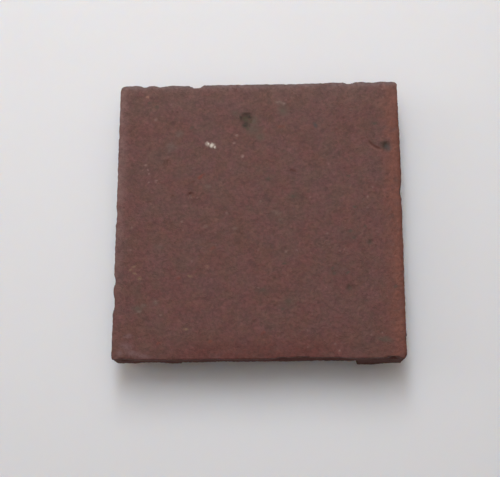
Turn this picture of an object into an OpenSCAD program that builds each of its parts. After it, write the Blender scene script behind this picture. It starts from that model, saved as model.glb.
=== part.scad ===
// Plain square floor tile of fired red clay, unglazed, lifted from an old floor.
// It lies on its back: the face is up, the origin is under the middle of the back, and
// the near side, where a flake has come off the lower edge, is towards -Y.

/* [Tile] */
// Length of each side, across the face
side = 76; // [60:0.5:155]
// Thickness, from the back to the face
thickness = 12.5; // [10:0.5:25]
// How far each side draws in between the face and the back
back_inset = 0.35; // [0.1:0.05:1]

/* [Wear] */
// Radius of the worn arris round the face
face_arris_r = 0.4; // [0.2:0.1:2]
// Radius of the arris round the back
back_arris_r = 0.4; // [0.2:0.1:1]
// Radius of the upright corners, seen from above
corner_r = 1.4; // [0.8:0.1:3]
// Radius of the near right corner, which is worn most
worn_corner_r = 2.4; // [0.8:0.1:4]

/* [Flake lost from the lower near edge] */
// Length of the scar along the side
flake_length = 46; // [20:0.5:50]
// Middle of the scar, to the right of the tile's middle
flake_place = 2.5; // [-5:0.1:5]
// Height of the scar on the side, from the back
flake_rise = 7.4; // [3:0.1:8]
// Depth of the scar across the back
flake_depth = 7; // [3:0.1:12]
// Radius of the hollow of the scar
flake_hollow_r = 11; // [8:0.5:30]
// How far each end of the scar runs in towards its middle, across its depth
flake_end_run = 3; // [0:0.5:8]
// Slope of the scar's upper edge, rising to the right
flake_slope = 1.6; // [0:0.1:3]

/* [Hidden] */
$fn = 96;

half = side / 2;
// Room by which a cutting shape or a prism reaches past the tile
past = 2;

// Turns that bring a shape made on the near side (-Y) round to each side of the tile
near = 0;
right = 90;
far = 180;
left = 270;

// Chips out of the face arris: side, place along it as a share of its length (to the right,
// seen from outside), width along the side, reach into the face, reach down the side
face_chips = [
    [far, 0.41, 3.2, 0.5, 1.7],
    [far, 0.345, 4.6, 0.55, 1.9],
    [far, 0.22, 5.2, 0.95, 2.6],
    [far, -0.125, 9, 0.4, 1.4],
    [far, -0.325, 3.2, 0.55, 1.7],
    [left, -0.01, 4.4, 0.45, 2],
    [left, 0.225, 2.6, 0.5, 2.4],
    [left, 0.3, 5, 0.5, 2.6],
    [right, 0.085, 3.4, 0.5, 3.2],
    [right, -0.24, 2.6, 0.4, 2],
    [right, -0.43, 3, 0.4, 2.4],
    [near, -0.45, 5.5, 0.6, 2.2],
    [near, 0.145, 9, 0.6, 1.7],
    [near, 0.45, 5.5, 0.7, 1.8],
];

// Chips out of the back arris: the same values, with the reach across the back and up the side
back_chips = [
    [near, -0.47, 11, 2, 5.4],
    [near, -0.375, 11, 2.5, 6.6],
    [near, -0.29, 9, 2.2, 4.4],
    [near, 0.48, 12, 2, 3],
];

// Deeper scoops in the flake's scar: place as a share of its length, width along the side,
// and how much further than the scar they reach across the back and up the side
flake_scoops = [
    [-0.27, 17, 0.6, 0.4],
    [0.28, 19, 0.2, 0.7],
];

// Pits in the face: place as a share of the side, across and away, then width and depth
pits = [
    [-0.042, 0.365, 3.6, 0.45],
    [-0.237, 0.082, 1.6, 0.35],
    [-0.325, 0.2, 2.2, 0.3],
    [0.45, 0.255, 2, 0.35],
    [0.388, -0.096, 1.6, 0.25],
    [0.313, -0.257, 2, 0.25],
];

// One quarter of a rounded corner's waste: the sharp corner at the origin, the material
// towards -X and -Y, and the second edge leaning in by lean degrees
module corner_waste(r, lean) {
    run = r / tan((90 - lean) / 2);
    foot = run * [-sin(lean), -cos(lean)];
    out = past * [cos(lean), -sin(lean)];
    difference() {
        polygon([[-run, 0], [-run, past], [past, past], foot + out, foot, [-run, -r]]);
        translate([-run, -r]) circle(r);
    }
}

// Upright section through the tile, the same both ways: sides that draw in to the back,
// and round arrises
module section() {
    lean = atan(back_inset / thickness);
    difference() {
        polygon([
            [-half, thickness], [half, thickness],
            [half - back_inset, 0], [-half + back_inset, 0],
        ]);
        for (flip = [0, 1]) mirror([flip, 0]) {
            translate([half, thickness]) corner_waste(face_arris_r, lean);
            translate([half - back_inset, 0]) mirror([0, 1]) corner_waste(back_arris_r, -lean);
        }
    }
}

// The section run through from side to side, along Y
module section_prism() {
    rotate([90, 0, 0])
        linear_extrude(side + 2 * past, center = true) section();
}

// The outline seen from above. Each corner is rounded at the right-hand end of its side.
module outline() {
    difference() {
        square(side, center = true);
        for (turn = [near, right, far, left])
            rotate(turn) translate([half, -half]) rotate(-90)
                corner_waste(turn == near ? worn_corner_r : corner_r, 0);
    }
}

// The tile as it was pressed and fired, with its corners worn
module blank() {
    intersection() {
        section_prism();
        rotate(90) section_prism();
        translate([0, 0, -past]) linear_extrude(thickness + 2 * past) outline();
    }
}

// A scooped chip out of a straight arris along X, with the material towards +Y and -Z.
// The ball runs through both ends of the width and through the two reaches.
module chip(width, reach_in, reach_down) {
    q = width * width / 4;
    out = (q - reach_in * reach_in) / (2 * reach_in);
    up = (q - reach_down * reach_down) / (2 * reach_down);
    translate([0, -out, up]) sphere(norm([width / 2, out, up]));
}

// Chips round the face
module face_chip_cuts() {
    for (c = face_chips)
        rotate(c[0]) translate([c[1] * side, -half, thickness]) chip(c[2], c[3], c[4]);
}

// Chips round the back
module back_chip_cuts() {
    for (c = back_chips)
        rotate(c[0]) translate([c[1] * side, back_inset - half, 0])
            mirror([0, 0, 1]) chip(c[2], c[3], c[4]);
}

// The hollow of the scar: a round bar along X that runs through the scar's edge on the side
// and its edge on the back, with ends that close in
module flake_hollow() {
    chord = norm([flake_depth, flake_rise]);
    off = sqrt(flake_hollow_r * flake_hollow_r - chord * chord / 4);
    y = flake_depth / 2 - off * flake_rise / chord;
    z = flake_rise / 2 - off * flake_depth / chord;
    end = flake_length / 2;
    intersection() {
        rotate([0, -flake_slope, 0]) translate([0, y, z]) rotate([0, 90, 0])
            cylinder(h = flake_length + 2 * past, r = flake_hollow_r, center = true);
        translate([0, 0, -past]) linear_extrude(thickness)
            polygon([
                [-end, -past], [end, -past], [end, 0],
                [end - flake_end_run, flake_depth + past],
                [flake_end_run - end, flake_depth + past], [-end, 0],
            ]);
    }
}

// The whole scar where the lower near edge has flaked off
module flake_scar() {
    translate([flake_place, back_inset - half, 0]) {
        flake_hollow();
        for (s = flake_scoops)
            translate([s[0] * flake_length, 0, 0]) mirror([0, 0, 1])
                chip(s[1], flake_depth + s[2], flake_rise + s[3]);
    }
}

// Round-bottomed pits in the face
module pit_cuts() {
    for (p = pits) {
        ball_r = (p[2] * p[2] / 4 + p[3] * p[3]) / (2 * p[3]);
        translate([p[0] * side, p[1] * side, thickness + ball_r - p[3]]) sphere(ball_r);
    }
}

module tile() {
    color("#674a45")
        difference() {
            blank();
            face_chip_cuts();
            back_chip_cuts();
            flake_scar();
            pit_cuts();
        }
}

tile();
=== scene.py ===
import math

import bpy
import numpy as np
from mathutils import Matrix, Vector, noise
from mathutils.bvhtree import BVHTree


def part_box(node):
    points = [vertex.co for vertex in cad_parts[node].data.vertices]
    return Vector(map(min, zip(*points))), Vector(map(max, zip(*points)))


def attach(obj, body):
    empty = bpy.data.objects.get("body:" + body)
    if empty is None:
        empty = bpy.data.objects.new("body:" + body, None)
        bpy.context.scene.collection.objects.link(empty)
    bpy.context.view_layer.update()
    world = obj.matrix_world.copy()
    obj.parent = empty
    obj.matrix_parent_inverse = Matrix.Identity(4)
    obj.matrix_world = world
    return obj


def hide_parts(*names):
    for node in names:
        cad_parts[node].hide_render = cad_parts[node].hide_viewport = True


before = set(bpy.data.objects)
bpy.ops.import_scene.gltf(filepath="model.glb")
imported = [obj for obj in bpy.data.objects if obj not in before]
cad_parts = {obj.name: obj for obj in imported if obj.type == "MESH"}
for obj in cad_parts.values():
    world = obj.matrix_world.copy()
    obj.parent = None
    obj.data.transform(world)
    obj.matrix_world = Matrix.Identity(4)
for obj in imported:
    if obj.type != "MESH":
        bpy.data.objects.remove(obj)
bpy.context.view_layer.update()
scene = bpy.context.scene

MM = 0.001

# The tile's own sizes, in millimetres, read from the frame
LOW, HIGH = (np.array(corner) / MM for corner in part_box("tile"))
HALF = (HIGH[0] - LOW[0]) / 2
THICK = HIGH[2]

# The worn skin: spacing of its points, the arris of the unbroken tile, how far its sides draw in
# to the back, and the turn in degrees past which an edge of it is crisp
SPACING = 0.40
ARRIS = 0.4
BACK_INSET = 0.35
CRISP_ANGLE = 35

# Relief in millimetres: how far the skin lies inside the solid, the height of its grain and of its
# slow waves, the hackle and grit of broken clay, the depth of the nibbled edge and how far from the
# edge it reaches, and the bump that is finer than the mesh
SKIN_INSET = 0.03
GRAIN_HEIGHT = 0.028
WAVE_HEIGHT = 0.02
HACKLE_HEIGHT = 0.13
GRIT_HEIGHT = 0.05
NIBBLE_DEPTH = 0.07
NIBBLE_REACH = 0.8
BUMP_HEIGHT = 0.21

# How far below the face the clay of the sides starts to show and shows fully, and the spacing of grit
SIDE_START = 0.3
SIDE_FULL = 1.2
GRIT_SPACING = 1.25

# The photograph's frame in pixels, its focal length in those pixels, and the camera's place
# in millimetres with its turns in degrees
PHOTO_WIDTH = 500
PHOTO_FOCAL = 1059.7
SENSOR = 36
CAMERA_PLACE = (10.51, -79.22, 281.17)
CAMERA_TURNS = (15.238, 2.621, -0.634)

# Light: a tall window-like source beyond the tile, a soft source overhead, a faint one on the left,
# and a dim room. Each source has its place and size in metres, and its power in watts.
LIGHTS = {
    "window": ((-0.02, 0.27, 0.46), (0.10, 0.38), 2.12),
    "ceiling": ((0, -0.06, 0.70), (0.25, 0.60), 0.95),
    "left_fill": ((-0.50, 0.05, 0.25), (0.25, 0.30), 0.42),
}
ROOM_LIGHT = 0.085
FLOOR_SIZE = 6
FLOOR_TONE = (232, 230, 231)
FLOOR_GLOW = 0.02
FLOOR_GLOW_REACH = (1.0, 0.85, 0.70)

# Colours are given as they look on the face in the photograph, from 0 to 255. LIT is the share of
# the clay's own colour that the light brings out, and SHEEN is the white gloss that lies over it.
LIT = 0.868
SHEEN = 0.024


def linear(tone):
    """A tone from 0 to 255 in linear light, fully opaque."""
    shares = [c / 255 for c in tone]
    return tuple(c / 12.92 if c <= 0.04045 else ((c + 0.055) / 1.055) ** 2.4 for c in shares) + (1.0,)


def own_colour(tone):
    """The clay's own colour that looks like the tone on the lit face."""
    return tuple(max((c - SHEEN) / LIT, 0.003) for c in linear(tone)[:3]) + (1.0,)


# Tones of the clay and of the marks on its face, and of the painted shade, sheen and highlight on it
CLAY_RED = (106, 73, 68)
CLAY_MAUVE = (101, 76, 73)
CLAY_OLIVE = (99, 76, 68)
CLAY_PINK = (105, 73, 72)
BROKEN_CLAY = (97, 70, 65)
SIDE_CLAY = (100, 72, 68)
ARRIS_ORANGE = (117, 78, 69)
ARRIS_PALE = (128, 103, 99)
# Painted shade on the very right edge of the face
ARRIS_SHADE = (87, 56, 48)
ARRIS_HAZE = (110, 97, 98)
# Painted sheen on the far part of the face
FAR_SHEEN = (112, 91, 84)
# Painted shade on the near part of the face
NEAR_RED_SHADE = (97, 61, 57)
CHALK = (226, 220, 206)
CHALK_EDGE = (170, 153, 143)
PALE_GRIT = (150, 122, 115)
DARK_GRIT = (64, 49, 45)
ORANGE_GRIT = (152, 112, 98)
STRAW = (126, 100, 84)
BEIGE = (114, 96, 89)
RED_CLAY = (120, 70, 62)
DARK_RED = (82, 54, 48)
# Painted highlight on the scratch's rim
SCRATCH_HIGHLIGHT = (124, 88, 80)
SLATE = (76, 74, 74)
DARK_GREEN = (66, 62, 57)
OLIVE_STAIN = (80, 73, 66)
OLIVE_HALO = (95, 82, 74)
GREY_PATCH = (106, 90, 84)
PIT_OLIVE = (82, 74, 62)
# Dirt and painted shade in the pit; the brown is also a painted shadow below the chalk fleck
BROWN_DIRT_AND_SHADE = (76, 65, 58)
BLACK_DIRT_AND_SHADE = (67, 60, 55)
WORN_GREY = (116, 91, 90)

# Marks on the face, from the largest and softest to the smallest: tone, strength, softness, and
# for each mark its place across and away in millimetres, half its width and length, and its turn
MARKS = [
    (OLIVE_HALO, 0.85, 1.0, [
        (-1.3, 24.5, 2.4, 2.2, -30), (0.4, 22.4, 1.8, 1.6, 0), (-1.2, 27.0, 1.2, 1.8, 0),
        (6.6, 30.0, 1.8, 2.2, 20), (-31.5, -24.6, 1.8, 1.2, 0), (32.6, -33.0, 2.2, 1.0, -15),
    ]),
    (GREY_PATCH, 0.75, 1.0, [
        (-23.5, 19.8, 1.8, 1.5, 0), (-24.1, 19.0, 1.1, 0.9, 0), (-21.4, 23.6, 1.5, 1.2, 0),
    ]),
    (OLIVE_STAIN, 0.32, 1.0, [
        (2.6, 9.8, 3.4, 2.2, 10), (-32.0, -20.0, 1.8, 3.0, 0), (23.8, -5.4, 3.0, 2.0, 20),
        (21.0, -14.8, 3.0, 2.2, 0), (7.6, -23.4, 2.2, 1.8, 0), (30.4, 26.4, 2.4, 1.8, 0),
        (9.6, 5.6, 2.6, 1.4, 20), (1.6, -20.0, 2.4, 1.6, 0), (13.6, 22.6, 3.0, 2.2, 20),
        (4.6, -0.4, 3.0, 2.0, -20),
    ]),
    (WORN_GREY, 0.85, 1.0, [
        (-34.2, -34.4, 2.2, 1.3, -20), (-32.4, -36.2, 2.6, 1.0, -12), (-29.6, -37.0, 2.2, 0.6, -8),
        (-33.8, -31.8, 1.4, 0.8, 0), (-35.8, -36.2, 1.0, 0.9, 0),
    ]),
    (BEIGE, 0.75, 1.0, [
        (5.7, 32.3, 1.3, 0.8, 0), (6.9, 32.0, 0.7, 0.7, 0), (-26.8, -22.9, 1.0, 0.9, 0),
        (-30.0, -23.8, 0.8, 0.6, 0), (-31.2, -25.4, 0.8, 0.5, 0),
    ]),
    (BEIGE, 0.4, 1.0, [
        (4.7, 1.0, 1.4, 0.8, -10), (5.9, -0.9, 0.8, 0.6, 0), (-14.0, -2.6, 1.2, 0.6, 10),
        (-26.4, -8.0, 1.2, 0.9, 0), (-6.2, -3.2, 0.8, 0.6, 0), (-13.5, 8.6, 1.2, 0.8, 0),
    ]),
    (RED_CLAY, 0.5, 0.9, [
        (-25.8, -33.6, 0.9, 0.4, 15), (-12.4, -33.3, 0.8, 0.6, 30), (6.1, 25.3, 1.1, 0.6, 0),
        (-20.7, -16.6, 0.7, 0.4, 20), (1.2, -31.2, 0.8, 0.5, 40), (-12.0, -8.6, 1.0, 0.5, 30),
    ]),
    (RED_CLAY, 0.75, 0.9, [(-15.4, 11.4, 1.5, 0.45, 38), (-15.9, 10.9, 0.6, 0.4, 0)]),
    (OLIVE_STAIN, 0.75, 1.0, [
        (29.2, -7.3, 0.9, 0.8, 0), (23.5, -19.5, 1.1, 1.1, -30), (35.3, -19.3, 0.7, 0.6, 0),
        (28.1, -3.0, 0.7, 0.6, 0), (24.1, -4.2, 0.7, 0.5, 0), (25.1, -6.1, 0.8, 0.5, 20),
        (19.3, -14.2, 0.5, 0.7, 0), (19.7, -15.6, 0.6, 0.6, 0), (6.2, -25.0, 0.6, 0.5, 0),
        (23.3, -15.5, 0.8, 0.4, 35), (24.1, 11.0, 0.7, 0.5, 0), (6.6, -12.9, 0.7, 0.4, 0),
        (2.6, 10.4, 0.9, 0.6, 15), (9.2, 5.5, 0.8, 0.5, 0), (31.2, 25.8, 0.9, 0.6, 0),
        (-27.8, 31.5, 0.8, 0.7, 0), (25.3, 2.4, 0.7, 0.5, 0),
        (-29.8, 32.7, 0.6, 0.6, 0), (-18.0, 25.4, 0.8, 0.4, 20),
    ]),
    (OLIVE_STAIN, 0.45, 1.0, [
        (-6.2, 29.3, 1.7, 1.5, 0), (7.6, -22.8, 0.9, 0.7, 0), (0.9, -19.9, 1.0, 0.6, 0),
        (31.3, -33.1, 1.3, 0.5, -20),
    ]),
    (DARK_GREEN, 0.95, 0.9, [(33.9, 19.7, 1.5, 1.5, 0)]),
    (SLATE, 0.85, 0.9, [(15.4, 25.5, 0.65, 1.1, 25), (34.8, 18.7, 1.3, 1.2, 20)]),
    # The pit: brown dirt with painted shade in it
    (BROWN_DIRT_AND_SHADE, 0.9, 0.8, [(-3.2, 27.9, 2.0, 1.8, 0), (-3.3, 26.1, 1.1, 1.2, -25)]),
    (PIT_OLIVE, 0.8, 1.0, [
        (-3.6, 27.8, 0.9, 0.8, 10), (-2.4, 26.9, 0.6, 1.0, 35), (-3.0, 24.9, 0.6, 0.7, 0),
    ]),
    # Black dirt and painted shade in the pit
    (BLACK_DIRT_AND_SHADE, 0.95, 1.0, [
        (-3.6, 26.0, 1.0, 1.1, -35), (-3.2, 29.1, 1.4, 0.5, -5), (-4.8, 28.1, 0.45, 1.0, 10),
        (-2.4, 25.7, 0.3, 0.7, 20), (-2.4, 28.4, 0.4, 0.7, 20),
    ]),
    (DARK_RED, 0.75, 1.0, [(9.3, 12.7, 1.2, 0.5, -15), (8.8, 12.9, 0.6, 0.5, 0)]),
    (DARK_RED, 0.42, 1.0, [
        (-24.8, 15.4, 0.35, 1.2, -32), (-25.4, 13.9, 0.6, 0.3, 0), (-18.4, 6.8, 0.8, 0.4, 0),
        (-19.0, 6.2, 0.35, 0.6, 0), (-29.1, 4.5, 0.9, 0.35, 18), (-23.0, 6.0, 0.9, 0.35, 25),
        (28.0, 21.5, 0.8, 0.3, 15), (21.0, 24.3, 0.8, 0.3, 15), (4.4, 2.0, 0.7, 0.3, -20),
        (-17.4, 10.0, 0.9, 0.3, 10),
    ]),
    (BEIGE, 0.6, 1.0, [(-18.3, 5.9, 0.45, 0.45, 0), (-18.0, 5.4, 0.4, 0.4, 0)]),
    (STRAW, 0.9, 1.0, [
        (-33.7, -14.2, 0.55, 0.5, 0), (-32.5, -15.2, 0.8, 0.4, -35), (-31.2, -16.4, 0.7, 0.55, 0),
        (-32.8, -13.3, 0.7, 0.3, 20), (-18.0, -16.0, 1.0, 0.45, -25), (-18.7, -30.1, 0.7, 0.35, 10),
    ]),
    (PALE_GRIT, 0.8, 1.0, [(-4.2, 16.8, 0.55, 0.55, 0)]),
    (PALE_GRIT, 0.5, 1.0, [
        (-5.8, 22.9, 0.5, 0.45, 0), (-6.5, 20.7, 0.5, 0.45, 0), (-30.4, 14.8, 0.5, 0.4, 0),
        (-29.8, 13.5, 0.4, 0.4, 0), (-29.3, 12.3, 0.4, 0.4, 0), (-27.4, 10.3, 0.5, 0.4, 0),
        (-29.4, 9.8, 0.4, 0.4, 0), (-27.9, 27.8, 0.5, 0.5, 0), (7.2, -9.7, 0.5, 0.5, 0),
    ]),
    (PALE_GRIT, 0.35, 1.0, [
        (31.7, -31.3, 0.4, 0.35, 0), (28.8, 2.0, 0.45, 0.4, 0), (-8.4, 1.0, 0.5, 0.45, 0),
        (-25.4, -26.3, 0.4, 0.4, 0), (-33.7, -2.8, 0.4, 0.5, 0), (-20.4, -1.2, 0.4, 0.4, 0),
        (20.6, -35.9, 0.4, 0.4, 0), (30.3, 7.7, 0.4, 0.4, 0), (29.0, 5.0, 0.4, 0.4, 0),
        (18.0, -4.9, 0.45, 0.4, 0), (0.6, 4.2, 0.45, 0.4, 0), (19.6, -34.2, 0.4, 0.4, 0),
        (5.4, 32.4, 0.7, 0.4, 0), (6.9, 32.0, 0.5, 0.4, 0),
    ]),
    (ORANGE_GRIT, 0.7, 1.0, [(-30.4, 34.4, 0.6, 0.5, 0)]),
    (ORANGE_GRIT, 0.4, 1.0, [(-13.6, -13.5, 0.8, 0.7, 0)]),
    (CHALK_EDGE, 0.85, 1.0, [
        (-13.7, 20.5, 0.8, 0.75, -15), (-12.5, 20.1, 0.75, 0.9, -30), (-11.8, 19.6, 0.5, 0.4, 0),
    ]),
    (CHALK, 0.55, 1.0, [
        (-12.65, 20.2, 0.45, 0.65, -20), (-13.5, 20.7, 0.35, 0.3, 20), (-11.8, 19.7, 0.25, 0.25, 0),
    ]),
    # Painted shadow below the chalk fleck
    (BROWN_DIRT_AND_SHADE, 0.7, 1.0, [(-13.2, 19.5, 0.4, 0.35, 0), (-12.2, 19.3, 0.3, 0.3, 0)]),
]

# A curved scratch on the face: the middle and radius of its arc, half its width, its depth, how far
# outside the arc the painted highlight on its rim lies, and the oval that it stays within
SCRATCH_CENTRE = (34.3, 24.05)
SCRATCH_RADIUS = 5.64
SCRATCH_HALF_WIDTH = 0.42
SCRATCH_DEPTH = 0.16
SCRATCH_HIGHLIGHT_OUT = 0.75
SCRATCH_REACH = (31.1, 19.6, 2.4, 1.4, -38)

# Shallow dents pressed or scratched into the face: place, half width and length, turn, depth
DENTS = [
    (-29.0, 4.3, 1.0, 0.45, 18, 0.12),
    (-22.8, 5.7, 1.0, 0.45, 25, 0.10),
    (9.4, 12.5, 1.0, 0.5, -18, 0.14),
    (28.0, 21.5, 1.0, 0.45, 15, 0.10),
    (21.0, 24.3, 1.0, 0.45, 15, 0.08),
    (-12.6, 20.9, 1.6, 0.5, -15, 0.08),
]

# Long shallow wear of the face's arris: axis across the side and the way out along it, then for
# each hollow its middle along the side, half its length and its depth
WORN_SIDES = [
    (1, 1, [(-2, 30, 0.17), (-20, 3, 0.36), (30.5, 2.6, 0.12)]),
    (1, -1, [(13.5, 13, 0.48), (6, 1.6, 0.65), (31.5, 4, 0.2)]),
    (0, 1, [(33, 10, 0.22), (-4, 18, 0.12), (-28, 18, 0.22)]),
]

# Upright corners that are worn rounder than the rest: which way each lies, and its radius
WORN_CORNERS = [(-1, 1, 1.9), (1, 1, 2.0)]


def smooth_step(low, high, value):
    t = np.clip((value - low) / (high - low), 0, 1)
    return t * t * (3 - 2 * t)


def roughness_field(points, size, octaves=3, shift=0.0):
    """Noise of mean square 1 at each point, with lumps about size millimetres across."""
    values = [noise.fractal(p, 1.0, 2.0, octaves) for p in (points / size + shift).tolist()]
    return np.array(values) / np.std(values)


def depth_in_blank(points):
    """How deep each point lies under the skin of the tile before it broke, in millimetres."""
    draw = BACK_INSET * (1 - points[:, 2:] / THICK)
    reach = np.hstack([HALF - draw, HALF - draw, np.full_like(draw, THICK / 2)]) - ARRIS
    over = np.abs(points - [0, 0, THICK / 2]) - reach
    outside = np.linalg.norm(np.maximum(over, 0), axis=1)
    return ARRIS - outside - np.minimum(over.max(axis=1), 0)


def edge_closeness(points):
    """1 on an arris or a corner of the tile, falling to 0 about a millimetre away from it."""
    to_sides = HALF - np.abs(points[:, :2])
    to_ends = np.minimum(points[:, 2], THICK - points[:, 2])
    second = np.sort(np.column_stack([to_sides, to_ends]), axis=1)[:, 1]
    return np.exp(-(second / NIBBLE_REACH) ** 2)


def oval(points, x, y, half_width, half_length, turn):
    """Distance of each point from the middle of an oval on the face, where 1 is its rim."""
    a = math.radians(turn)
    dx, dy = points[:, 0] - x, points[:, 1] - y
    along = (dx * math.cos(a) + dy * math.sin(a)) / half_width
    across = (dy * math.cos(a) - dx * math.sin(a)) / half_length
    return np.hypot(along, across)


def dent_depth(points):
    """How deep the dents and the scratch are pressed into the face at each point."""
    off_arc = np.hypot(*(points[:, :2] - SCRATCH_CENTRE).T) - SCRATCH_RADIUS
    reach = smooth_step(1.2, 0.8, oval(points, *SCRATCH_REACH))
    total = SCRATCH_DEPTH * reach * np.exp(-(off_arc / SCRATCH_HALF_WIDTH / 1.2) ** 2)
    for *place, depth in DENTS:
        total = np.maximum(total, depth * np.exp(-oval(points, *place) ** 2))
    return total * (points[:, 2] > THICK - ARRIS)


def wear_sides(points):
    """Brings in the points that stand past the worn outline, high on the sides and at the corners."""
    high = smooth_step(THICK - 3.5, THICK - 1, points[:, 2])
    for axis, way, hollows in WORN_SIDES:
        along = points[:, 1 - axis]
        depth = np.zeros(len(points))
        for middle, half_length, deepest in hollows:
            share = smooth_step(1, 0.5, np.abs(along - middle) / half_length)
            depth = np.maximum(depth, deepest * share)
        points[:, axis] = way * np.minimum(way * points[:, axis], HALF - depth * high)
    for x_way, y_way, radius in WORN_CORNERS:
        out = np.maximum(points[:, :2] * (x_way, y_way) - (HALF - radius), 0)
        length = np.maximum(np.hypot(*out.T), radius)[:, None]
        points[:, :2] -= (x_way, y_way) * out * (1 - radius / length)


def get_vectors(mesh, name):
    values = np.empty(len(mesh.vertices) * 3)
    mesh.vertices.foreach_get(name, values)
    return values.reshape(-1, 3)


def set_points(mesh, points):
    mesh.vertices.foreach_set("co", (points * MM).ravel())
    mesh.update()


def even_skin(node):
    """A copy of a node's mesh with evenly spaced points that lie on the node's surface."""
    piece = bpy.data.objects.new("worn_tile", node.data.copy())
    scene.collection.objects.link(piece)
    even = piece.modifiers.new("even_skin", "REMESH")
    even.mode = "VOXEL"
    even.voxel_size = SPACING * MM
    depsgraph = bpy.context.evaluated_depsgraph_get()
    piece.data = bpy.data.meshes.new_from_object(piece.evaluated_get(depsgraph))
    piece.modifiers.clear()
    piece.data.name = "worn_tile"
    corners = [vertex.co for vertex in node.data.vertices]
    surface = BVHTree.FromPolygons(corners, [polygon.vertices for polygon in node.data.polygons])
    nearest = [surface.find_nearest(point)[0] for point in get_vectors(piece.data, "co").tolist()]
    set_points(piece.data, np.array(nearest) / MM)
    return piece


def worn_tile():
    """The tile's solid with an even, dense skin, roughened where it is worn or broken."""
    piece = even_skin(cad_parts["tile"])
    mesh = piece.data
    points = get_vectors(mesh, "co") / MM
    normals = get_vectors(mesh, "normal")

    broken = smooth_step(0.08, 0.30, depth_in_blank(points))
    broken *= smooth_step(5, 2, HALF - np.abs(points[:, :2]).max(axis=1))
    wear_sides(points)
    edge = edge_closeness(points)
    grain = roughness_field(points, 0.9, 2)
    waves = roughness_field(points, 9, 2, 7.3)
    hackle = roughness_field(points, 2.6, 5, 3.1)
    grit = roughness_field(points, 1.0, 3, 5.7)
    nibble = np.maximum(roughness_field(points, 2.0, 3, 11.9), 0)

    skin_height = -SKIN_INSET + GRAIN_HEIGHT * grain + WAVE_HEIGHT * waves - dent_depth(points)
    broken_height = -SKIN_INSET + HACKLE_HEIGHT * hackle + GRIT_HEIGHT * grit
    height = skin_height * (1 - broken) + broken_height * broken
    height -= edge * NIBBLE_DEPTH * nibble
    points += normals * height[:, None]
    set_points(mesh, np.clip(points, LOW, HIGH))

    layer = mesh.attributes.new("broken", "FLOAT", "POINT")
    layer.data.foreach_set("value", broken.astype(np.float32))
    mesh.shade_smooth()
    mesh.set_sharp_from_angle(angle=math.radians(CRISP_ANGLE))
    mesh.materials.clear()
    mesh.materials.append(clay_material())
    return piece


class Tree:
    """Builds a material's node tree. Sockets and plain values are both taken as inputs."""

    def __init__(self, name):
        self.material = bpy.data.materials.new(name)
        self.material.use_nodes = True
        self.nodes = self.material.node_tree.nodes
        self.links = self.material.node_tree.links
        self.nodes.clear()

    def add(self, kind, inputs=None, **settings):
        node = self.nodes.new("ShaderNode" + kind)
        for key, value in settings.items():
            setattr(node, key, value)
        for key, value in (inputs or {}).items():
            if isinstance(value, bpy.types.NodeSocket):
                self.links.new(value, node.inputs[key])
            else:
                node.inputs[key].default_value = value
        return node

    def math(self, operation, a, b=0.0):
        return self.add("Math", {0: a, 1: b}, operation=operation).outputs[0]

    def vector(self, operation, a, b):
        return self.add("VectorMath", {0: a, 1: b}, operation=operation).outputs[0]

    def length(self, a):
        return self.add("VectorMath", {0: a}, operation="LENGTH").outputs["Value"]

    def ramp(self, value, low, high, bottom=0.0, top=1.0):
        inputs = {"Value": value, "From Min": low, "From Max": high, "To Min": bottom, "To Max": top}
        return self.add("MapRange", inputs, interpolation_type="SMOOTHSTEP").outputs[0]

    def noise(self, place, size, detail=3.0, rough=0.55):
        inputs = {"Vector": place, "Scale": 1 / size, "Detail": detail, "Roughness": rough}
        return self.add("TexNoise", inputs, noise_dimensions="3D")

    def mix(self, factor, a, b, blend="MIX"):
        node = self.add("Mix", {0: factor, 6: a, 7: b}, data_type="RGBA", blend_type=blend)
        return node.outputs[2]

    def grey(self, value):
        return self.add("CombineColor", {0: value, 1: value, 2: value}).outputs[0]

    def attribute(self, name):
        return self.add("Attribute", attribute_name=name).outputs["Fac"]

    def turned(self, place, centre, degrees):
        inputs = {"Vector": place, "Center": centre, "Angle": math.radians(degrees)}
        return self.add("VectorRotate", inputs, rotation_type="Z_AXIS").outputs[0]

    def spot(self, place, x, y, half_width, half_length, turn, softness):
        """A mask that is 1 inside an oval on the face and fades out to its rim."""
        centred = self.vector("SUBTRACT", self.turned(place, (x, y, 0), -turn), (x, y, 0))
        scaled = self.vector("MULTIPLY", centred, (1 / half_width, 1 / half_length, 0))
        return self.ramp(self.length(scaled), 1 + softness * 0.35, 1 - softness)


def body_clay_and_sheen(tree, place, y):
    """Two pairs of clays mixed in clouds of all sizes, with a painted sheen that greys the far side, so
    that it is a little redder towards the near side.
    """
    red_share = tree.ramp(tree.noise(place, 7, 3, 0.65).outputs["Fac"], 0.34, 0.66)
    red_pair = tree.mix(red_share, own_colour(CLAY_MAUVE), own_colour(CLAY_RED))
    pink_place = tree.vector("ADD", place, (11, 43, 5))
    pink_share = tree.ramp(tree.noise(pink_place, 3.8, 3, 0.75).outputs["Fac"], 0.34, 0.66)
    pink_pair = tree.mix(pink_share, own_colour(CLAY_OLIVE), own_colour(CLAY_PINK))
    colour = tree.mix(0.5, red_pair, pink_pair)
    # Painted sheen: green and blue rise towards the far side, greying it, so the near side looks redder
    painted_far_sheen = tree.ramp(y, -HALF, HALF, 0.99, 1.035)
    painted_sheen_tint = tree.add("CombineColor", {0: 1.0, 1: painted_far_sheen, 2: painted_far_sheen}).outputs[0]
    return tree.mix(1.0, colour, painted_sheen_tint, "MULTIPLY")


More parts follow.
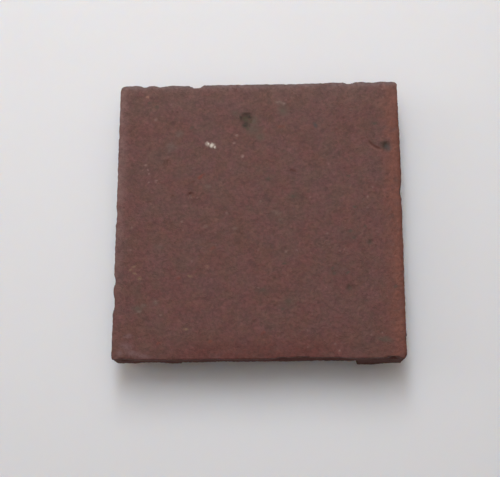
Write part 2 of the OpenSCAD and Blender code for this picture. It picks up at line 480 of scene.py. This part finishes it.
def arris_wear_and_painted_light(tree, colour, ragged, x, y, z):
    """The arris: orange on the right and pale on the left and along the far side; painted shade on the
    very right edge, a painted sheen on the far part of the face, and painted shade that reddens the
    near part.
    """
    top = tree.ramp(z, THICK - 2.5, THICK - 1)
    uneven = tree.ramp(tree.noise(ragged, 2.6, 3).outputs["Fac"], 0.26, 0.58, 0.25, 1)
    right = tree.ramp(x, HALF - 6.4, HALF - 1.8, 0, 0.9)
    # Painted shade along the very right edge, where the arris turns away from the light
    rim = tree.ramp(x, HALF - 1.4, HALF - 0.4, 0, 0.45)
    paler_far = tree.ramp(y, -30, 6, 0.2, 1)
    left = tree.math("MULTIPLY", tree.ramp(x, -HALF + 3.4, -HALF + 0.2, 0, 0.6), paler_far)
    # The next band is a painted sheen that pales and greys the far part of the face
    beyond = tree.ramp(y, HALF - 12, HALF - 1, 0, 0.22)
    far = tree.ramp(y, HALF - 3.0, HALF - 0.4, 0, 0.4)
    haze = tree.ramp(y, HALF - 1.6, HALF - 0.5, 0, 0.55)
    # Painted shade that darkens and reddens the near part of the face, most in the middle
    inner = tree.ramp(tree.math("ABSOLUTE", x), 28, 12, 0.2, 1)
    near = tree.math("MULTIPLY", tree.ramp(y, -HALF + 8, -HALF + 1.5, 0, 0.7), inner)
    bands = (
        (right, ARRIS_ORANGE), (rim, ARRIS_SHADE), (left, ARRIS_PALE), (beyond, FAR_SHEEN),
        (far, ARRIS_PALE), (haze, ARRIS_HAZE), (near, NEAR_RED_SHADE),
    )
    for band, tone in bands:
        amount = tree.math("MULTIPLY", tree.math("MULTIPLY", band, uneven), top)
        colour = tree.mix(amount, colour, own_colour(tone))
    return colour


def plain_sides(tree, colour, ragged, z):
    """Sides and back: plainer clay that floor traffic has not rubbed."""
    below = tree.ramp(z, THICK - SIDE_START, THICK - SIDE_FULL)
    cover = tree.ramp(tree.noise(ragged, 5, 5, 0.7).outputs["Fac"], 0.34, 0.66, 0.68, 0.98)
    return tree.mix(tree.math("MULTIPLY", below, cover), colour, own_colour(SIDE_CLAY))


def broken_clay(tree, colour, place):
    """Fresh clay where the tile has broken."""
    fresh = tree.ramp(tree.noise(place, 0.8, 4, 0.6).outputs["Fac"], 0.30, 0.70, 0.5, 0.95)
    bare = tree.math("MULTIPLY", tree.attribute("broken"), fresh)
    return tree.mix(bare, colour, own_colour(BROKEN_CLAY))


def mottles_and_relief_shade(tree, colour, ragged, lumps, grain):
    """Dark and light clouds of a few millimetres, painted shade in the hollows of the small lumps, and
    painted light and shade that speckle the fine grain.
    """
    dark_mottle = tree.ramp(tree.noise(ragged, 3.2, 5, 0.72).outputs["Fac"], 0.46, 0.72, 1, 0.80)
    light_place = tree.vector("ADD", ragged, (31, 7, 3))
    light_mottle = tree.ramp(tree.noise(light_place, 2.4, 5, 0.72).outputs["Fac"], 0.48, 0.74, 1, 1.24)
    # Painted shade in the hollows of the small lumps, and painted light and shade on the fine grain;
    # both follow the bump's heights
    hollow_shade = tree.ramp(lumps, 0.35, 0.65, 0.87, 1.13)
    grain_shade = tree.ramp(grain, 0.25, 0.75, 0.90, 1.10)
    clouds = tree.math("MULTIPLY", dark_mottle, light_mottle)
    shade = tree.math("MULTIPLY", clouds, tree.math("MULTIPLY", hollow_shade, grain_shade))
    return tree.mix(1.0, colour, tree.grey(shade), "MULTIPLY")


def loose_grit(tree, colour, ragged):
    """A scatter of single pale and dark grains."""
    grits = ((PALE_GRIT, (0, 0, 0), 0.95, 0.2), (DARK_GRIT, (57, 13, 9), 0.88, 0.3))
    for tone, shift, limit, strength in grits:
        cell_inputs = {"Vector": tree.vector("ADD", ragged, shift), "Scale": 1 / GRIT_SPACING}
        cells = tree.add("TexVoronoi", cell_inputs)
        picked = tree.add("SeparateColor", {0: cells.outputs["Color"]}).outputs[0]
        chosen = tree.ramp(picked, limit, limit + 0.04)
        core = tree.ramp(cells.outputs["Distance"], 0.34, 0.10)
        amount = tree.math("MULTIPLY", tree.math("MULTIPLY", chosen, core), strength)
        colour = tree.mix(amount, colour, own_colour(tone))
    return colour


def face_marks(tree, colour, ragged, lumps, on_face):
    """The marks on the face, broken up by the small lumps."""
    patchy = tree.math("MULTIPLY", tree.ramp(lumps, 0.38, 0.62, 0.65, 1.1), on_face)
    for tone, strength, softness, spots in MARKS:
        mask = None
        for spot in spots:
            one = tree.spot(ragged, *spot, softness)
            mask = one if mask is None else tree.math("MAXIMUM", mask, one)
        amount = tree.math("MULTIPLY", tree.math("MULTIPLY", mask, patchy), strength)
        colour = tree.mix(amount, colour, own_colour(tone))
    return colour


def face_scratch(tree, colour, place, on_face):
    """The curved scratch: a dark groove, with a painted highlight on the rim outside it."""
    from_centre = tree.vector("SUBTRACT", place, SCRATCH_CENTRE + (0,))
    out = tree.length(tree.vector("MULTIPLY", from_centre, (1, 1, 0)))
    reach = tree.math("MULTIPLY", tree.spot(place, *SCRATCH_REACH, 0.6), on_face)
    # The outer arc is a painted highlight on the scratch's rim
    arcs = ((SCRATCH_RADIUS + SCRATCH_HIGHLIGHT_OUT, SCRATCH_HIGHLIGHT, 0.6), (SCRATCH_RADIUS, DARK_RED, 0.8))
    for radius, tone, strength in arcs:
        off_arc = tree.math("ABSOLUTE", tree.math("SUBTRACT", out, radius))
        line = tree.ramp(off_arc, SCRATCH_HALF_WIDTH * 1.4, 0, 0, strength)
        colour = tree.mix(tree.math("MULTIPLY", line, reach), colour, own_colour(tone))
    return colour


def clay_material():
    """Unglazed red clay: mottled, gritty and stained on the face, bare where it has broken, with
    painted shade, sheen and highlights on it.
    """
    tree = Tree("fired_clay")
    metres = tree.add("TexCoord").outputs["Object"]
    place = tree.vector("MULTIPLY", metres, (1 / MM, 1 / MM, 1 / MM))
    x, y, z = tree.add("SeparateXYZ", {0: place}).outputs
    wander = tree.vector("SUBTRACT", tree.noise(place, 0.9, 3).outputs["Color"], (0.5, 0.5, 0.5))
    ragged = tree.vector("ADD", place, tree.vector("MULTIPLY", wander, (0.9, 0.9, 0)))
    on_face = tree.ramp(z, THICK - 1.2, THICK - 0.7)

    # Relief finer than the mesh: small lumps, and grain between them
    lumps = tree.noise(tree.vector("MULTIPLY", ragged, (0.92, 1, 1)), 0.85, 3, 0.65).outputs["Fac"]
    grain = tree.noise(place, 0.42, 3, 0.8).outputs["Fac"]
    height = tree.math("ADD", tree.math("MULTIPLY", grain, 0.8), lumps)
    bump = tree.add("Bump", {"Strength": 0.9, "Distance": BUMP_HEIGHT * MM, "Height": height})

    colour = body_clay_and_sheen(tree, place, y)
    colour = arris_wear_and_painted_light(tree, colour, ragged, x, y, z)
    colour = plain_sides(tree, colour, ragged, z)
    colour = broken_clay(tree, colour, place)
    colour = mottles_and_relief_shade(tree, colour, ragged, lumps, grain)
    colour = loose_grit(tree, colour, ragged)
    colour = face_marks(tree, colour, ragged, lumps, on_face)
    colour = face_scratch(tree, colour, place, on_face)

    # The face is rubbed to a faint gloss, and the sides are matt
    rubbed = tree.ramp(grain, 0.2, 0.8, 0.46, 0.66)
    matt = tree.ramp(z, THICK - SIDE_START, THICK - SIDE_FULL, 0, 0.95)
    surface = tree.add("BsdfPrincipled", {
        "Base Color": colour,
        "Roughness": tree.math("MAXIMUM", rubbed, matt),
        "Normal": bump.outputs[0],
        "Specular IOR Level": 0.25,
    })
    output = tree.add("OutputMaterial", {"Surface": surface.outputs[0]})
    output.is_active_output = True
    return tree.material


def pale_floor():
    bpy.ops.mesh.primitive_plane_add(size=FLOOR_SIZE)
    floor = bpy.context.object
    floor.name = "floor"
    tree = Tree("pale_floor")
    surface = tree.add("BsdfPrincipled", {
        "Base Color": linear(FLOOR_TONE),
        "Subsurface Weight": 1.0,
        "Subsurface Radius": FLOOR_GLOW_REACH,
        "Subsurface Scale": FLOOR_GLOW,
        "Roughness": 0.9,
        "Specular IOR Level": 0.2,
    })
    tree.add("OutputMaterial", {"Surface": surface.outputs[0]})
    floor.data.materials.append(tree.material)


def soft_light():
    for name, (place, size, power) in LIGHTS.items():
        light = bpy.data.lights.new(name, "AREA")
        light.shape = "RECTANGLE"
        light.size, light.size_y = size
        light.energy = power
        holder = bpy.data.objects.new(name, light)
        holder.location = place
        holder.rotation_mode = "QUATERNION"
        holder.rotation_quaternion = Vector(place).to_track_quat("Z", "Y")
        scene.collection.objects.link(holder)
    room = bpy.data.worlds.new("room")
    room.use_nodes = True
    room.node_tree.nodes["Background"].inputs["Strength"].default_value = ROOM_LIGHT
    room.node_tree.nodes["Background"].inputs["Color"].default_value = (1, 1, 1, 1)
    scene.world = room
    scene.view_settings.view_transform = "Standard"


def photo_camera():
    lens = bpy.data.cameras.new("camera")
    lens.sensor_width = SENSOR
    lens.lens = PHOTO_FOCAL / PHOTO_WIDTH * SENSOR
    lens.clip_start = 0.01
    camera = bpy.data.objects.new("camera", lens)
    turns = [Matrix.Rotation(math.radians(angle), 4, axis) for angle, axis in zip(CAMERA_TURNS, "XYZ")]
    camera.matrix_world = Matrix.Translation(Vector(CAMERA_PLACE) * MM) @ turns[0] @ turns[1] @ turns[2]
    scene.collection.objects.link(camera)
    scene.camera = camera


photo_camera()
soft_light()
pale_floor()
tile = worn_tile()
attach(tile, "root")
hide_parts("tile")
